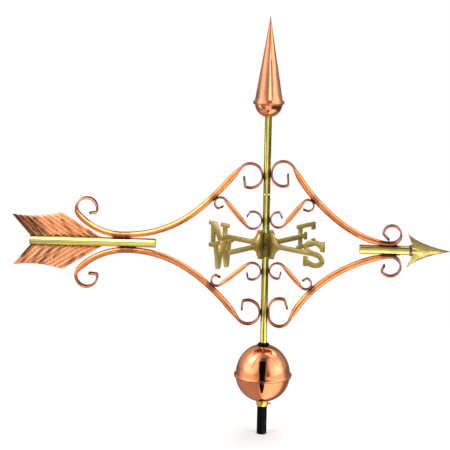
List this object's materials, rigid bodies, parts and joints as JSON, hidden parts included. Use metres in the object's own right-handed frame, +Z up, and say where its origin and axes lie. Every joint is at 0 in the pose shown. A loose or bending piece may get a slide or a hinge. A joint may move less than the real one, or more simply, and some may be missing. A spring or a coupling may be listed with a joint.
{
  "type": "weather vane",
  "caption": "Copper and brass arrow weather vane with scrolled frame and pleated fletching, turning on a spindle over compass letters and a globe on a black rod.",
  "frame": {"origin": "centre of the mounting rod's flat lower end", "axes": "+Z up along the rod, +X towards the arrowhead at rest, -Y towards the side the letters read from"},
  "size_m": [0.9105, 0.2602, 0.8825],
  "materials": {
    "polished_copper": "polished copper sheet and rod, lightly toned at the brazed joints",
    "polished_brass": "polished brass tube and cast arrowhead",
    "cast_brass": "satin cast brass",
    "steel": "plain bright steel",
    "black_paint": "satin black"
  },
  "bodies": {
    "mast": {"mounting_rod": "black_paint", "globe_lower_half": "polished_copper", "globe_upper_half": "polished_copper", "globe_bushing": "black_paint", "globe_collar": "polished_brass", "globe_collar_screw": "steel", "spindle": "steel", "thrust_ball": "steel", "north_south_casting": "cast_brass", "north_south_screw": "steel", "west_east_casting": "cast_brass", "west_east_screw": "steel"},
    "vane": {"finial_cone": "polished_copper", "finial_cup": "polished_copper", "arrowhead_ring": "polished_copper", "upper_fletching": "polished_copper", "lower_fletching": "polished_copper", "upper_tail_scroll": "polished_copper", "upper_head_scroll": "polished_copper", "lower_tail_scroll": "polished_copper", "lower_head_scroll": "polished_copper", "upper_tail_inner_scroll": "polished_copper", "upper_head_inner_scroll": "polished_copper", "lower_tail_inner_scroll": "polished_copper", "lower_head_inner_scroll": "polished_copper", "lower_tube": "polished_brass", "upper_tube": "polished_brass", "finial_tube": "polished_brass", "pivot_plug": "polished_brass", "tail_shaft": "polished_brass", "head_shaft": "polished_brass", "arrowhead": "polished_brass"}
  },
  "joints": [
    {"name": "vane_spin", "type": "hinge", "parent": "mast", "child": "vane", "pos_m": [0, 0, 0.406], "axis": [0, 0, 1], "continuous": true}
  ]
}
